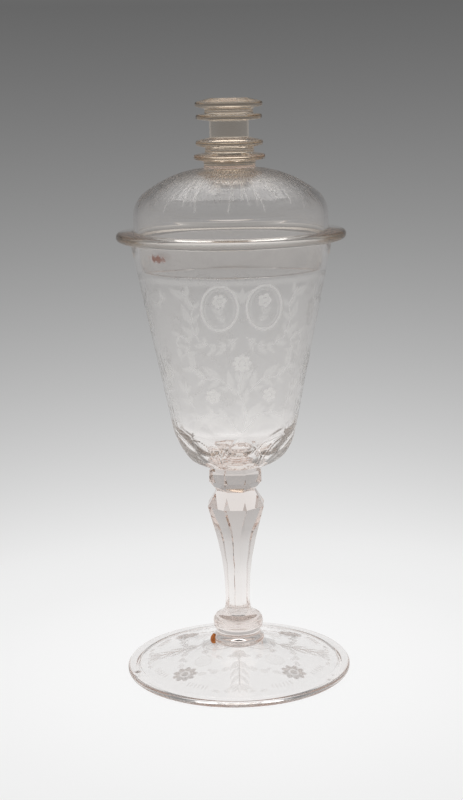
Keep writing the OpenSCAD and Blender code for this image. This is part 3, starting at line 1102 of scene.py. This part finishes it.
    def _ovals(self, plate: Plate) -> None:
        """Cuts a pair of ovals with sprigs, and the sprays of leaves round and under it."""
        reach = math.radians(self.oval_turn) * float(self.outer_r(self.oval_z - base_of(self.node)))
        for hand in (-1, 1):
            centre = (hand * reach, self.oval_z)
            plate.oval(centre, self.oval_half_w, self.oval_half_h, 1.0)
            plate.oval(centre, self.oval_half_w - 1.7, self.oval_half_h - 1.7, 0.45, 0.7)
            stalk = [(centre[0] - hand * 2.4, centre[1] - 7.4), (centre[0], centre[1] - 1), centre]
            plate.branch(stalk, 0.45, 4.0, 2.6, hand)
            plate.blossom((centre[0], centre[1] + 3.4), 3.6, 6 if hand < 0 else 5, 20, 0.8)
            beside = [(hand * 21, 176), (hand * 25, 184), (hand * 24, 193), (hand * 29, 200)]
            plate.branch(beside, 0.6, 8.2, 5.0, hand)
            swag = [(hand * 2, 178), (hand * 7, 174), (hand * 14, 173), (hand * 20, 176)]
            plate.branch(swag, 0.6, 5.4, 3.6, hand)
            high = [(hand * 3, 150), (hand * 10, 157), (hand * 18, 157), (hand * 26, 163)]
            plate.branch(high, 0.7, 8.6, 5.4, -hand)
            low = [(hand * 1, 130), (hand * 7, 138), (hand * 15, 140), (hand * 23, 136)]
            plate.branch(low, 0.7, 8.4, 5.2, hand)
            plate.blossom((hand * 14, 148.5), 3.8, 6, 10, 0.85)
            plate.branch(scroll((hand * 31, 174), 6.2, hand * 190, 1.0, hand), 0.6, 5.8, 4.6, -hand)
            plate.branch([(hand * 24, 142), (hand * 28, 147), (hand * 29, 155)], 0.6, 6.4, 4.4, hand)
            plate.leaf((hand * 1.2, 196.5), hand * 35, 6.5, 2.4, hand * 1.2)
        plate.leaf((0, 194.5), 0, 7.0, 2.8)
        plate.branch([(0, 130), (2.6, 140), (-2.0, 151), (0, 161)], 0.8, 7.8, 4.6)
        plate.blossom((0, 165.0), 4.6, 8, 0, 0.85)

    @staticmethod
    def _palmette(plate: Plate) -> None:
        """Cuts a large flower over a chain of husks, between two tall scrolls."""
        plate.blossom((0, 183), 8.4, 8, 22.5)
        plate.oval((0, 183), 10.4, 10.4, 0.5, 0.7)
        for lean in (-60, -36, -12, 12, 36, 60):
            far = math.radians(lean)
            base = (10.8 * math.sin(far), 183 + 10.8 * math.cos(far))
            plate.leaf(base, lean, 6.4, 2.2)
        for k in range(6):
            size = 9.0 - 0.7 * k
            for hand in (-1, 1):
                plate.leaf((0, 172 - 7.4 * k), hand * 148, size, size * 0.36, -hand * 1.2)
            plate.leaf((0, 172 - 7.4 * k), 180, size * 0.8, size * 0.26)
        for hand in (-1, 1):
            plate.branch(scroll((hand * 16, 158), 8.6, hand * 170, 1.3, hand), 0.7, 5.2, 4.8, -hand)
            plate.blossom((hand * 16, 158), 3.0, 5, 0)
            plate.branch(scroll((hand * 13, 137), 7.2, hand * 20, 1.25, -hand), 0.6, 4.6, 4.6, hand)
            swag = [(hand * 14, 199), (hand * 19, 193), (hand * 25, 192), (hand * 30, 198)]
            plate.branch(swag, 0.5, 4.2, 3.8, -hand)


@dataclass
class CoverRim(Part):
    """Flange of the cover with its rolled edge, and the lip that drops into the bowl."""

    d: float = 112.2
    edge_t: float = 4.0
    rise: float = 0.6
    lip_depth: float = 14.0
    lip_wall: float = 2.0
    lip_round: float = 0.6
    lip_d: float = 93.0
    lip_low_d: float = 87.417
    bore_d: float = 90.6
    seat_d: float = 95.0
    columns: int = 360

    def shape(self) -> bmesh.types.BMesh:
        """Turns the flange and its lip as one ring.

        Returns:
            The closed shape.
        """
        r = self.d / 2
        roll = ROLL * self.edge_t / 2
        lip_roll = ROLL * self.lip_wall / 2
        seat_z = self.edge_t + self.rise
        points = rounded([
            Corner(self.bore_d / 2, seat_z),
            Corner(self.lip_d / 2 - self.lip_wall, 0, self.lip_wall),
            Corner(self.lip_low_d / 2 - self.lip_wall, -self.lip_depth, lip_roll),
            Corner(self.lip_low_d / 2, -self.lip_depth, lip_roll),
            Corner(self.lip_d / 2, 0, self.lip_round),
            Corner(r, 0, roll),
            Corner(r, self.edge_t, roll),
            Corner(self.seat_d / 2, seat_z),
        ])
        base = top_of("bowl")
        return turned([(x, z + base) for x, z in points], self.columns, ring=True)


@dataclass
class Dome(Part):
    """Dome of the cover, engraved on its crown with fans of rays and scrolls."""

    d: float = 95.0
    wall: float = 2.2
    corner_h: float = 14.5
    round: float = 14.2
    crown_d: float = 55.4
    crown_drop: float = 1.5
    crown_round: float = 55.0
    neck_d: float = 25.6
    columns: int = 480
    rows: float = 0.6
    inner_rows: float = 4.0
    fans: int = 8
    # Reach and fading of the brownish haze on the crown, and its shares of matte and stain
    haze_reach: float = 26.0
    haze_fade: float = 12.0
    haze_matte: float = 0.08
    haze_stain: float = 0.2

    def _outline(self) -> list[Corner]:
        """Corners of the outside, from the flange up to the axis."""
        h = height_of(self.node)
        return [
            Corner(self.d / 2, 0),
            Corner(self.d / 2, self.corner_h, self.round),
            Corner(self.crown_d / 2, h - self.crown_drop, self.crown_round),
            Corner(self.neck_d / 2, h),
            Corner(0, h),
        ]

    def shape(self) -> bmesh.types.BMesh:
        """Turns the dome with its wall.

        Returns:
            The closed shape.
        """
        base = base_of(self.node)
        outer = rounded(self._outline())
        inner = rounded(inside(self._outline(), self.wall))
        fused = [(self.d / 2, -FUSE), *refined(outer[:-1], self.rows), outer[-1]]
        under = [(inner[0][0], -FUSE), *inner]
        points = [*reversed(refined(under, self.inner_rows)), *fused]
        return turned([(r, z + base) for r, z in points], self.columns)

    def engrave(self, spots: np.ndarray) -> dict[str, np.ndarray]:
        """Engraves the crown.

        Args:
            spots: the piece's points.

        Returns:
            How far each point is cut, and the brownish haze of the crown.
        """
        base = base_of(self.node)
        far = np.hypot(spots[:, 0], spots[:, 1])
        outer = np.array(rounded(self._outline())[:-1])[::-1]
        steps = np.hypot(*np.diff(outer, axis=0).T)
        gone = np.concatenate([[0.0], np.cumsum(steps)])
        nearest = np.full(len(spots), np.inf)
        down = np.zeros(len(spots))
        height = spots[:, 2] - base
        ways = np.arange(0, gone[-1] + 1, SKIN)
        for (r, z), way in zip(refined([tuple(p) for p in outer], SKIN), ways):
            gap = np.hypot(far - r, height - z)
            closer = gap < nearest
            nearest[closer] = gap[closer]
            down[closer] = way
        outside = (nearest < SKIN) & (far > self.neck_d / 2 + 0.4)
        turn = azimuth(spots)
        cut = np.zeros(len(spots))
        for k in range(self.fans):
            side = wrapped(turn - math.tau * (k + 0.25) / self.fans)
            plate = Plate(far * side, down.copy(), self.rows)
            self._fan(plate, k)
            cut = np.maximum(cut, plate.cut)
        haze = np.clip((self.haze_reach - down) / self.haze_fade, 0.0, 1.0) * outside
        cut = np.maximum(cut * outside, self.haze_matte * haze)
        return {ENGRAVED: cut, STAIN: self.haze_stain * haze}

    @staticmethod
    def _fan(plate: Plate, place: int) -> None:
        """Cuts a lattice of hatching by the neck, a fan of rays below it and a spray on either side."""
        for k in range(-4, 5):
            for lean in (-5.2, 5.2):
                plate.line([(k * 1.5 - lean / 2, 0.8), (k * 2.6 + lean / 2, 15.5)], 0.4, 0.75)
        for k in range(-3, 4):
            tip = 34.0 + 3.6 * ((k * 2 + place) % 3)
            lean = 3.4 if (k + place) % 2 else -3.4
            plate.line([(k * 1.9, 15.0), (k * 3.6 + lean, tip)], 0.4, 0.95)
            plate.leaf((k * 2.0, 13.5), k * 7, 9.0, 1.6, k * 0.3, 0.6)
        for hand in (-1, 1):
            spray = [(hand * 12.5, 15), (hand * 13.5, 21), (hand * 13.0, 28)]
            plate.branch(spray, 0.5, 4.4, 3.4, hand)


@dataclass
class WaxBead(Part):
    """A bead of old sealing wax in the notch beside the collar."""

    width: float = 3.2
    direction: float = 197.0
    out: float = 13.2
    lumps: float = 0.28
    lump_rate: float = 1.7
    sag: float = 0.22
    fill: float = 0.97

    def shape(self) -> bmesh.types.BMesh:
        """Models the bead as a lumpy drop.

        Returns:
            The closed shape.
        """
        low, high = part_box(self.node)
        middle = (low.z + high.z) / 2 / MM
        bm = bmesh.new()
        bmesh.ops.create_icosphere(bm, subdivisions=4, radius=1.0)
        for vert in bm.verts:
            sag = 1.0 - self.sag * vert.co.z
            lump = 1.0 + self.lumps * noise.noise(vert.co * self.lump_rate)
            vert.co.x *= self.width / 2 * sag * lump
            vert.co.y *= self.width / 2 * sag * lump
            vert.co.z *= (high.z - low.z) / MM / 2 * self.fill
        turn = math.radians(self.direction)
        place = Vector((self.out * math.cos(turn), self.out * math.sin(turn), middle))
        bmesh.ops.translate(bm, verts=list(bm.verts), vec=place)
        bmesh.ops.recalc_face_normals(bm, faces=list(bm.faces))
        return bm


@dataclass
class Stem:
    """The stem's members, from the collar on the foot to the knop under the bowl."""

    finish: Glass
    collar_seat_d: float = 25.2
    collar_d: float = 26.4
    bulge_h: float = 3.0
    neck_d: float = 22.4
    knop_d: float = 25.2
    knop_under_h: float = 2.1
    knop_over_h: float = 2.1
    knop_round: float = 4.0
    knop_top_d: float = 17.0
    facets: int = 8
    foot_w: float = 14.4
    waist_w: float = 12.2
    flare_h: float = 4.5
    waist_h: float = 24.5
    flare_round: float = 9.0
    waist_round: float = 128.0
    shoulder_w: float = 28.0
    shoulder_h: float = 8.1
    top_w: float = 18.6
    ridge_w: float = 2.8
    spread_w: float = 4.2
    spread_h: float = 13.8
    spread_round: float = 42.0
    cut_knop_w: float = 26.2
    belt_top_w: float = 25.8
    slope_h: float = 4.9
    bevel_h: float = 1.9
    cut_knop_top_w: float = 23.8

    def build(self) -> list[bpy.types.Object]:
        """Builds the members from the bottom up.

        Returns:
            The finished objects.
        """
        return [part.build() for part in (self._collar(), self._knop(), self._shaft(), self._cut_knop())]

    def _member(self, kind: type, node: str, **sizes: object) -> Part:
        """One member on the goblet, standing at its node's height and fused to its neighbours."""
        joins = [(base_of(node), self.collar_d), (top_of(node), self.collar_d)]
        if node == "lower_knop":
            joins.pop(1)
        if node == "stem":
            joins.pop(0)
        return kind(
            node, Body.GOBLET, Slot.STEM, self.finish, base=base_of(node), joins=tuple(joins), **sizes
        )

    def _collar(self) -> Part:
        """The collar with its drawn-in neck."""
        h = height_of("foot_collar")
        roll = ROLL * self.bulge_h / 2
        corners = (
            Corner(0, -FUSE),
            Corner(self.collar_seat_d / 2, -FUSE),
            Corner(self.collar_d / 2, (self.bulge_h - roll) / 2, roll),
            Corner(self.collar_d / 2, self.bulge_h, roll),
            Corner(self.neck_d / 2, (self.bulge_h + h) / 2, roll),
            Corner(self.neck_d / 2, h + FUSE),
            Corner(0, h + FUSE),
        )
        return self._member(TurnedMember, "foot_collar", corners=corners)

    def _knop(self) -> Part:
        """The flattened round knop."""
        h = height_of("lower_knop")
        corners = (
            Corner(0, 0),
            Corner(self.neck_d / 2, 0),
            Corner(self.knop_d / 2, self.knop_under_h, self.knop_round),
            Corner(self.knop_d / 2, h - self.knop_over_h, self.knop_round),
            Corner(self.knop_top_d / 2, h),
            Corner(0, h),
        )
        return self._member(TurnedMember, "lower_knop", corners=corners)

    def _flute(self, half_w: float, ridge_w: float) -> float:
        """Half width over the flutes that leaves ridges of a given width."""
        step = math.tau / self.facets
        return ridge_w / 2 * math.sin(step) + half_w * math.cos(step)

    def _shaft(self) -> Part:
        """The baluster with its flutes and ridges."""
        h = height_of("stem")
        shoulder_z = h - self.shoulder_h
        spread_z = shoulder_z - self.spread_h
        slope = (self.shoulder_w - self.waist_w) / 2 / (shoulder_z - self.waist_h)
        spread_half = self.waist_w / 2 + slope * (spread_z - self.waist_h)
        waist_flute = self._flute(self.waist_w / 2, self.ridge_w)
        shoulder = (Corner(self.shoulder_w / 2, shoulder_z), Corner(self.top_w / 2, h))
        top = Corner(self.top_w / 2, h + FUSE)
        ridge = (
            Corner(self.foot_w / 2, -FUSE),
            Corner(self.waist_w / 2, self.flare_h, self.flare_round),
            Corner(self.waist_w / 2, self.waist_h, self.waist_round),
            *shoulder,
            top,
        )
        flute = (
            Corner(self._flute(self.foot_w / 2, self.ridge_w), -FUSE),
            Corner(waist_flute, self.flare_h, self.flare_round),
            Corner(waist_flute, self.waist_h, self.waist_round),
            Corner(self._flute(spread_half, self.spread_w), spread_z, self.spread_round),
            *shoulder,
            top,
        )
        return self._member(FacetedMember, "stem", ridge=ridge, flute=flute)

    def _cut_knop(self) -> Part:
        """The knop with its belt of upright faces."""
        h = height_of("upper_knop")
        outline = (
            Corner(self.top_w / 2, 0),
            Corner(self.cut_knop_w / 2, self.slope_h),
            Corner(self.belt_top_w / 2, h - self.bevel_h),
            Corner(self.cut_knop_top_w / 2, h),
            Corner(self.cut_knop_top_w / 2, h + FUSE),
        )
        return self._member(FacetedMember, "upper_knop", ridge=outline, flute=outline)


@dataclass
class Finial:
    """The cover's finial: a neck, four rings, two waists and a plain shaft."""

    finish: Glass
    neck_d: float = 25.6
    edge_t: float = 2.2
    edge_up: float = 2.1
    ring_ds: tuple[float, ...] = (34.6, 32.6, 32.0, 32.6)
    waist_1_d: float = 24.2
    waist_2_d: float = 24.0
    shaft_d: float = 19.0
    top_d: float = 19.2
    cove: float = 0.5

    def build(self) -> list[bpy.types.Object]:
        """Builds the members from the bottom up.

        Returns:
            The finished objects.
        """
        seats = (
            (self.neck_d, self.waist_1_d),
            (self.waist_1_d, self.shaft_d),
            (self.shaft_d, self.waist_2_d),
            (self.waist_2_d, self.top_d),
        )
        parts = [self._spool("finial_neck", self.neck_d, self.cove)]
        for k, (d, (low_d, high_d)) in enumerate(zip(self.ring_ds, seats), start=1):
            parts.append(self._ring(f"finial_ring_{k}", d, low_d, high_d))
        parts.append(self._spool("finial_waist_1", self.waist_1_d, self.cove))
        parts.append(self._spool("finial_shaft", self.shaft_d, 0.0))
        parts.append(self._spool("finial_waist_2", self.waist_2_d, self.cove))
        return [part.build() for part in parts]

    def _member(self, node: str, corners: tuple[Corner, ...]) -> Part:
        """One turned member on the cover, standing at its node's height."""
        seat = base_of(node)
        joins = [(seat, self.neck_d), (top_of(node), self.neck_d)]
        if node == "finial_ring_4":
            joins.pop(1)
        return TurnedMember(
            node, Body.COVER, Slot.FINIAL, self.finish, corners=corners, base=seat, joins=tuple(joins)
        )

    def _spool(self, node: str, d: float, cove: float) -> Part:
        """A spool with a cove in its side, or a plain shaft where the cove is zero."""
        h = height_of(node)
        corners = (
            Corner(0, -FUSE),
            Corner(d / 2, -FUSE),
            Corner(d / 2, 0),
            Corner(d / 2 - cove, h / 2, h if cove else 0.0),
            Corner(d / 2, h),
            Corner(d / 2, h + FUSE),
            Corner(0, h + FUSE),
        )
        return self._member(node, corners)

    def _ring(self, node: str, d: float, low_d: float, high_d: float) -> Part:
        """A ring with a rolled edge, between the seats of its two neighbours."""
        h = height_of(node)
        roll = ROLL * self.edge_t / 2
        corners = (
            Corner(0, 0),
            Corner(low_d / 2, 0),
            Corner(d / 2, self.edge_up - self.edge_t / 2, roll),
            Corner(d / 2, self.edge_up + self.edge_t / 2, roll),
            Corner(high_d / 2, h),
            Corner(0, h),
        )
        return self._member(node, corners)


@dataclass
class Studio:
    """Pale floor and a backdrop that curves round the object, both glowing with painted studio light; a soft
    lamp and the camera.
    """

    camera_x: float = -1.3
    camera_y: float = -764.0
    camera_z: float = 299.0
    pitch: float = 11.78
    roll: float = -1.1
    lens: float = 70.5
    floor_drop: float = 0.3
    backdrop_r: float = 230.0
    backdrop_h: float = 500.0
    segments: int = 128
    # Grey of the floor's glow under the object and where it meets the backdrop: a painted pool of light,
    # brightest under the object
    floor_grey: float = 0.986
    foot_grey: float = 0.83
    # Height and power of the backdrop's painted fall-off of light upwards, and where it ends
    fade_h: float = 195.0
    fade_power: float = 1.08
    dark_h: float = 340.0
    # Greys of the backdrop's top, which glows brightly as painted light from above, and of the floor behind
    # it, out of the camera's view
    top_greys: tuple[Point, ...] = ((370, 0.16), (420, 0.4), (500, 0.8))
    outer_grey: Point = (700, 0.8)
    stops: int = 17
    # Greys by height of the glowing screens at the sides and in front, painted side light, also out of its
    # view
    side_greys: tuple[Point, ...] = ((0, 0.83), (60, 0.75), (150, 0.62), (320, 0.55), (500, 0.8))
    # Where the screens begin beside the backdrop's back, and how quickly
    screen_edge: float = 0.67
    screen_rate: float = 1.6
    above: float = 0.7
    shadow_share: float = 0.12
    shadow_rate: float = 3.0
    bounces: int = 64
    clear_bounces: int = 32

    def build(self) -> None:
        """Builds the whole studio."""
        scene = bpy.context.scene
        scene.view_settings.view_transform = "Standard"
        scene.cycles.max_bounces = self.bounces
        scene.cycles.transmission_bounces = self.bounces
        scene.cycles.glossy_bounces = self.bounces
        scene.cycles.transparent_max_bounces = self.clear_bounces
        self._camera()
        self._world()
        self._floor()
        self._backdrop()
        self._lamp("top_softbox", (0.0, 0.5, 1.15), (0.0, 0.0, 0.2), (1.1, 0.7), 3.5)

    def _camera(self) -> None:
        """Places the camera as the photograph was taken."""
        data = bpy.data.cameras.new("camera")
        data.lens = self.lens
        camera = linked("camera", data)
        camera.matrix_world = (
            Matrix.Translation(Vector((self.camera_x, self.camera_y, self.camera_z)) * MM)
            @ Matrix.Rotation(math.radians(90 - self.pitch), 4, "X")
            @ Matrix.Rotation(math.radians(self.roll), 4, "Z")
        )
        bpy.context.scene.camera = camera

    def _world(self) -> None:
        """Lights the studio evenly from above the backdrop."""
        world = bpy.data.worlds.new("studio")
        bpy.context.scene.world = world
        world.use_nodes = True
        shader = Shader(world.node_tree)
        grey = (self.above, self.above, self.above, 1.0)
        light = shader.node("ShaderNodeBackground", {}, {"Color": grey, "Strength": 1.0})
        shader.finish("ShaderNodeOutputWorld", {"Surface": light})

    def _floor_pool_greys(self) -> list[Point]:
        """Greys of the floor's glow by the distance from the object: a painted pool of light that fades
        outwards.
        """
        fall = (self.floor_grey - self.foot_grey) / self.backdrop_r**2
        fars = np.linspace(0, self.backdrop_r, self.stops)
        return [*((float(far), float(self.floor_grey - fall * far**2)) for far in fars), self.outer_grey]

    def _wall_greys(self) -> list[Point]:
        """Greys of the backdrop by height, where the light dies away upwards."""
        heights = np.linspace(0, self.dark_h, self.stops)
        greys = self.foot_grey * np.exp(-((heights / self.fade_h) ** self.fade_power))
        return [*zip(heights.tolist(), greys.tolist()), *self.top_greys]

    @staticmethod
    def _graded(shader: Shader, place: Value, greys: Sequence[Point]) -> Value:
        """Grades greys along a distance in metres, from stops in millimetres."""
        reach = greys[-1][0]
        stops = [(far / reach, (grey, grey, grey)) for far, grey in greys]
        return shader.node("ShaderNodeValToRGB", {"stops": stops}, {0: place / (reach * MM)})

    def _stage(self, name: str, bm: bmesh.types.BMesh) -> Shader:
        """Stages a shape and starts its material.

        Args:
            name: the name of the shape.
            bm: the shape, in metres.

        Returns:
            The material's empty shader.
        """
        mesh = bpy.data.meshes.new(name)
        bm.to_mesh(mesh)
        bm.free()
        material, shader = started(name)
        mesh.materials.append(material)
        linked(name, mesh)
        return shader

    def _floor(self) -> None:
        """Lays a pale round floor that glows with a painted pool of light and keeps a faint shadow."""
        bm = bmesh.new()
        reach = self.outer_grey[0] * MM
        bmesh.ops.create_circle(bm, cap_ends=True, segments=self.segments, radius=reach)
        bmesh.ops.translate(bm, verts=list(bm.verts), vec=(0, 0, -self.floor_drop * MM))
        shader = self._stage("floor", bm)
        x, y = shader.axes("XY")
        far = (x * x + y * y).root()
        # Painted pool of light: the floor glows brightest under the object and greyer towards the backdrop
        colour = self._graded(shader, far, self._floor_pool_greys())
        glow = shader.node("ShaderNodeEmission", {}, {"Color": colour, "Strength": 1.0})
        matte = shader.node("ShaderNodeBsdfDiffuse", {}, {"Color": colour})
        inward = (1.0 - far / (self.backdrop_r * MM)).at_least(0.0)
        share = (inward * self.shadow_rate).at_most(1.0) * self.shadow_share
        shader.finish("ShaderNodeOutputMaterial", {"Surface": shader.blend(share, glow, matte)})

    def _backdrop(self) -> None:
        """Stands a round backdrop on the floor that shows only its inner side, which glows with painted
        studio light: fading upwards, bright at its top and its sides.
        """
        bm = bmesh.new()
        bmesh.ops.create_circle(bm, segments=self.segments, radius=self.backdrop_r * MM)
        bmesh.ops.translate(bm, verts=list(bm.verts), vec=(0, 0, -self.floor_drop * MM))
        raised = bmesh.ops.extrude_edge_only(bm, edges=list(bm.edges))["geom"]
        top = [v for v in raised if isinstance(v, bmesh.types.BMVert)]
        bmesh.ops.translate(bm, verts=top, vec=(0, 0, self.backdrop_h * MM))
        for face in bm.faces:
            face.normal_update()
            if face.normal.dot(face.calc_center_median()) > 0:
                face.normal_flip()
        shader = self._stage("backdrop", bm)
        y, z = shader.axes("YZ")
        # Painted side light: the backdrop glows brighter towards its sides and front than at its back
        side = (self.screen_edge - y / (self.backdrop_r * MM)) * self.screen_rate
        side = side.at_least(0.0).at_most(1.0)
        back = self._graded(shader, z, self._wall_greys())
        grey = shader.mix(side, back, self._graded(shader, z, self.side_greys))
        glow = shader.node("ShaderNodeEmission", {}, {"Color": grey})
        clear = shader.node("ShaderNodeBsdfTransparent", {}, {})
        surface = shader.blend(shader.backfacing(), glow, clear)
        shader.finish("ShaderNodeOutputMaterial", {"Surface": surface})

    @staticmethod
    def _lamp(name: str, place: Sequence[float], target: Sequence[float], size: Point, power: float) -> None:
        """Hangs a soft rectangular lamp that faces a point.

        Args:
            name: the lamp's name.
            place: where it hangs, in metres.
            target: what it faces, in metres.
            size: its width and height, in metres.
            power: its power in watts.
        """
        data = bpy.data.lights.new(name, "AREA")
        data.shape = "RECTANGLE"
        data.size, data.size_y = size
        data.energy = power
        lamp = linked(name, data)
        lamp.location = place
        lamp.rotation_euler = (Vector(target) - Vector(place)).to_track_quat("-Z", "Y").to_euler()
        lamp.visible_glossy = False


def main() -> None:
    """Builds the goblet, its cover and the studio."""
    logging.basicConfig(level=logging.INFO, format="%(name)s: %(message)s")
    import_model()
    Studio().build()
    clear = Glass("clear_glass")
    rim = Glass("rim_glass", passed=(0.962, 0.945, 0.92))
    crest = Glass("crest_glass", passed=(0.93, 0.90, 0.86), density=160.0)
    bowl_cut = Glass(
        "engraved_bowl_glass", engraved=True, passed=(0.964, 0.955, 0.947), matte=0.5,
        matte_colour=(0.97, 0.95, 0.92), scatter=0.6, wave_height=0.004, streak=7.0,
    )
    foot_cut = Glass("engraved_foot_glass", engraved=True, matte_colour=(0.92, 0.87, 0.84), scatter=0.1)
    dome_cut = Glass(
        "engraved_dome_glass", engraved=True, matte_colour=(0.95, 0.91, 0.86),
        stain_colour=(0.72, 0.52, 0.33), scatter=0.45,
    )
    Foot("foot", Body.GOBLET, Slot.FOOT, foot_cut, joins=((top_of("foot"), COLLAR_JOIN),)).build()
    Stem(clear).build()
    knop_top = (base_of("bowl"), BOWL_JOIN)
    Bowl("bowl", Body.GOBLET, Slot.BOWL, bowl_cut, relief=0.22, joins=(knop_top,)).build()
    WaxBead("wax_bead", Body.GOBLET, Slot.WAX, Wax("old_wax")).build()
    seat, crown = (base_of("cover_dome"), FLANGE_JOIN), (top_of("cover_dome"), NECK_JOIN)
    CoverRim("cover_rim", Body.COVER, Slot.COVER, rim, joins=(seat,)).build()
    Dome("cover_dome", Body.COVER, Slot.COVER, dome_cut, joins=(seat, crown)).build()
    Finial(crest).build()


if __name__ == "__main__":
    main()
